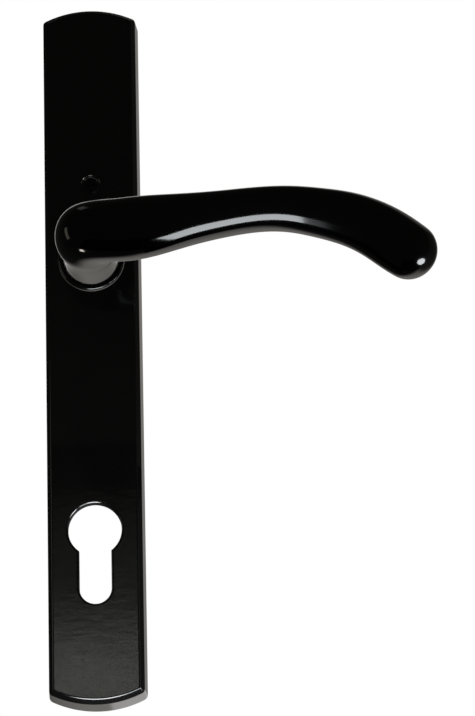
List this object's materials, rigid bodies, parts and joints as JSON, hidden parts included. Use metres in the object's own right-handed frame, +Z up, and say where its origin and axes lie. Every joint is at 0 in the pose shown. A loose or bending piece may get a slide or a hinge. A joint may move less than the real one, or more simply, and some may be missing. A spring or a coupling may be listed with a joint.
{
  "type": "lever door handle",
  "caption": "Sprung lever door handle on a long narrow plate with a profile-cylinder cut-out, a square spindle and a return-spring cassette behind the plate.",
  "frame": {"origin": "on the spindle's axis, at the door's face, which is the plane of the plate's back rim", "axes": "+X along the lever towards its tip, +Y into the door along the spindle, +Z up the door"},
  "size_m": [0.13, 0.0922, 0.2396],
  "materials": {
    "plate_coat": "satin black coating on a zinc casting",
    "collar_coat": "glossy black coating",
    "lever_coat": "glossy black coating on a zinc casting",
    "screw_black": "black coated steel",
    "nylon": "natural nylon",
    "moulding": "black glass-filled nylon",
    "zinc_steel": "bright zinc-plated steel",
    "spring_steel": "oiled spring steel",
    "brass": "turned brass",
    "rubber": "soft black seal"
  },
  "bodies": {
    "plate": {"backplate": "plate_coat", "gasket": "rubber", "collar_ring": "collar_coat", "thrust_washer": "nylon", "bearing_bush": "nylon", "cassette_housing": "moulding", "cassette_cover": "zinc_steel", "cassette_screw_1": "zinc_steel", "cassette_screw_2": "zinc_steel", "cassette_screw_3": "zinc_steel", "cassette_screw_4": "zinc_steel", "front_screw": "screw_black", "threaded_insert_top": "brass", "threaded_insert_bottom": "brass", "return_spring": "spring_steel"},
    "lever_set": {"lever": "lever_coat", "spring_driver": "zinc_steel", "wave_washer": "spring_steel", "circlip": "spring_steel", "spindle": "zinc_steel", "spindle_clip": "spring_steel"}
  },
  "joints": [
    {"name": "lever_turn", "type": "hinge", "parent": "plate", "child": "lever_set", "pos_m": [0, 0, 0], "axis": [0, 1, 0], "range_deg": [-45, 40], "stiffness_Nm_per_rad": 2, "springref_deg": -3.44, "deforming": ["return_spring"]}
  ]
}
